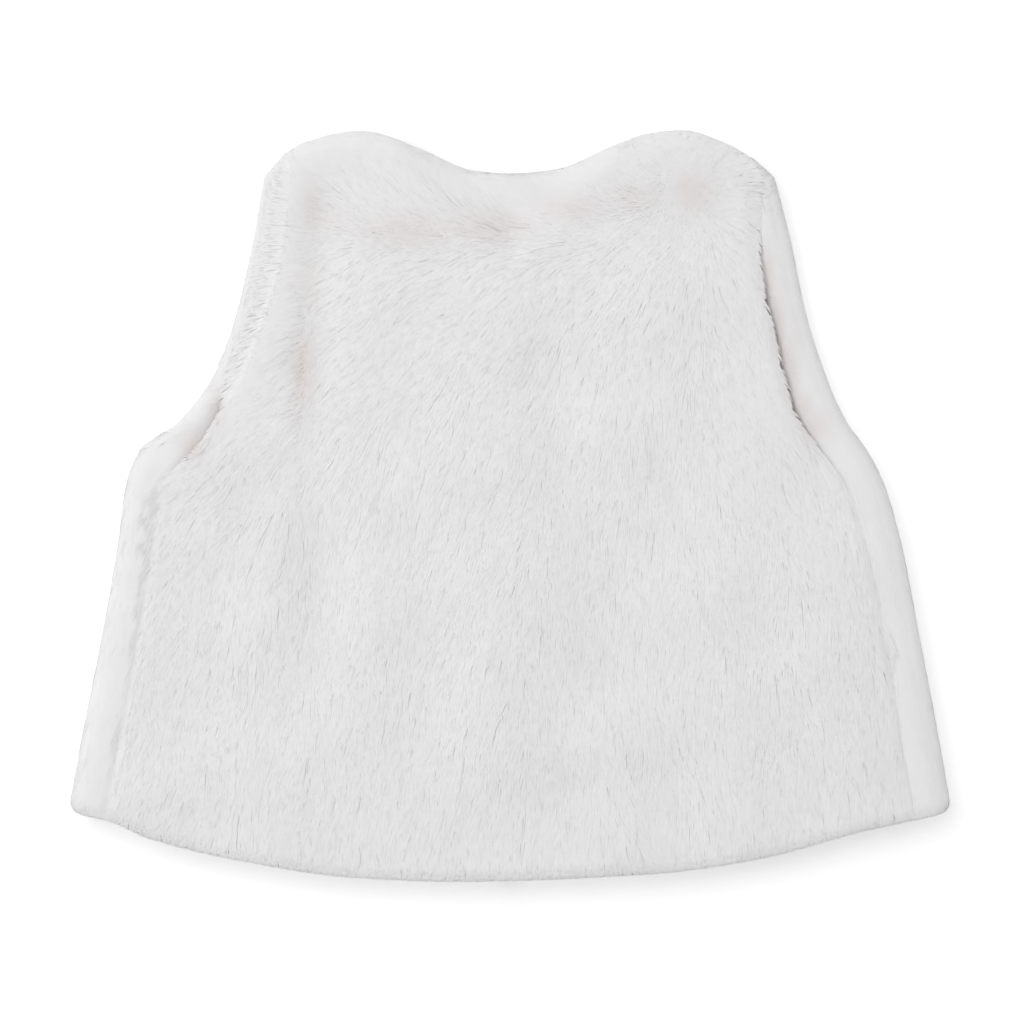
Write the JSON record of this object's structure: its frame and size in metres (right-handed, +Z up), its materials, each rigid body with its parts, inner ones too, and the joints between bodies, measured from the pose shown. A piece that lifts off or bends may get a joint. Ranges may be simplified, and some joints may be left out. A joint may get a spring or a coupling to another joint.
{
  "type": "plush fleece vest",
  "caption": "Child's sleeveless white plush vest in long combed pile, laid flat with its back up, A-line with a curved hem, open armholes and a shallow back neck.",
  "frame": {"origin": "on the surface the vest lies on, under the middle of its outline", "axes": "+X across the vest towards its right-hand edge as it lies, +Y towards the neck, +Z up from the surface through the back"},
  "size_m": [0.3514, 0.2998, 0.0198],
  "materials": {
    "plush": "long combed white pile on a knitted backing"
  },
  "bodies": {
    "root": {"back": "plush", "front_left": "plush", "front_right": "plush"}
  },
  "joints": []
}
